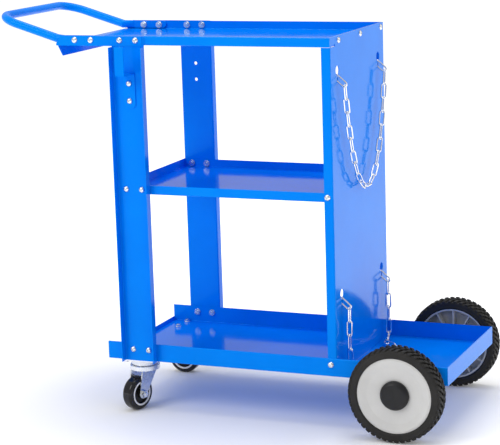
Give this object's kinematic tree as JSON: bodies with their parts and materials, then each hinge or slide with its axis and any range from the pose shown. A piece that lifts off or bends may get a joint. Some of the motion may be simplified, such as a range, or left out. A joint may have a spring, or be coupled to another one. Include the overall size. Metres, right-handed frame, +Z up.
{
  "type": "oxy acetylene torch cart",
  "caption": "Three-deck steel cart for gas cylinders and torch gear: tube handle, swivel casters in front, wheels on an axle at the rear, retaining chains.",
  "frame": {"origin": "on the floor, at the middle of the cart's overall length and width", "axes": "+X from the handle towards the cylinder deck, +Y towards the side without the hose hook, +Z up"},
  "size_m": [0.8855, 0.412, 0.7505],
  "materials": {
    "blue_paint": "gloss azure powder coat",
    "zinc": "bright zinc plate",
    "rubber": "black rubber",
    "hub_plastic": "pale warm grey moulded plastic",
    "cap_plastic": "black moulded plastic",
    "caster_tread": "glossy black tread",
    "ring_plastic": "white plastic"
  },
  "bodies": {
    "frame": {"top_tray": "blue_paint", "middle_shelf": "blue_paint", "bottom_tray": "blue_paint", "right_leg": "blue_paint", "left_leg": "blue_paint", "back_panel": "blue_paint", "right_side_plate": "blue_paint", "left_side_plate": "blue_paint", "handle_tube": "blue_paint", "hose_hook": "blue_paint", "right_axle_bracket": "blue_paint", "left_axle_bracket": "blue_paint", "handle_spacers": "zinc", "top_screws": "zinc", "top_nuts": "zinc", "shelf_screws": "zinc", "shelf_nuts": "zinc", "bottom_screws": "zinc", "bottom_nuts": "zinc", "hook_screws": "zinc", "hook_nuts": "zinc", "axle": "zinc", "axle_collars": "zinc", "axle_push_nuts": "zinc", "caster_bolts": "zinc", "caster_nuts": "zinc", "lower_chain": "zinc", "upper_chain_end_links": "zinc", "lower_chain_end_links": "zinc", "right_caster_plate": "zinc", "right_caster_kingpin": "zinc", "left_caster_plate": "zinc", "left_caster_kingpin": "zinc"},
    "right_wheel": {"right_tyre": "rubber", "right_hub": "hub_plastic", "right_hub_cap": "cap_plastic"},
    "right_caster_swivel": {"right_caster_fork": "zinc", "right_caster_balls": "zinc", "right_caster_axle": "zinc", "right_caster_axle_nut": "zinc"},
    "right_caster_wheel": {"right_caster_tyre": "caster_tread", "right_caster_core": "cap_plastic", "right_caster_rings": "ring_plastic"},
    "left_wheel": {"left_tyre": "rubber", "left_hub": "hub_plastic", "left_hub_cap": "cap_plastic"},
    "left_caster_swivel": {"left_caster_fork": "zinc", "left_caster_balls": "zinc", "left_caster_axle": "zinc", "left_caster_axle_nut": "zinc"},
    "left_caster_wheel": {"left_caster_tyre": "caster_tread", "left_caster_core": "cap_plastic", "left_caster_rings": "ring_plastic"},
    "upper_chain_loop": {"upper_chain": "zinc"}
  },
  "joints": [
    {"name": "right_wheel_spin", "type": "hinge", "parent": "frame", "child": "right_wheel", "pos_m": [0.355, -0.1835, 0.0865], "axis": [0, 1, 0], "continuous": true},
    {"name": "right_caster_turn", "type": "hinge", "parent": "frame", "child": "right_caster_swivel", "pos_m": [-0.169, -0.118, 0.085], "axis": [0, 0, 1], "continuous": true},
    {"name": "right_caster_roll", "type": "hinge", "parent": "right_caster_swivel", "child": "right_caster_wheel", "pos_m": [-0.17602, -0.14095, 0.03175], "axis": [-0.9563, 0.2924, 0], "continuous": true},
    {"name": "left_wheel_spin", "type": "hinge", "parent": "frame", "child": "left_wheel", "pos_m": [0.355, 0.1835, 0.0865], "axis": [0, 1, 0], "continuous": true},
    {"name": "left_caster_turn", "type": "hinge", "parent": "frame", "child": "left_caster_swivel", "pos_m": [-0.169, 0.118, 0.085], "axis": [0, 0, 1], "continuous": true},
    {"name": "left_caster_roll", "type": "hinge", "parent": "left_caster_swivel", "child": "left_caster_wheel", "pos_m": [-0.193, 0.118, 0.03175], "axis": [0, 1, 0], "continuous": true},
    {"name": "upper_chain_swing", "type": "hinge", "parent": "frame", "child": "upper_chain_loop", "pos_m": [0.244, 0, 0.6244], "axis": [0, -1, 0], "range_deg": [0, 100]}
  ]
}
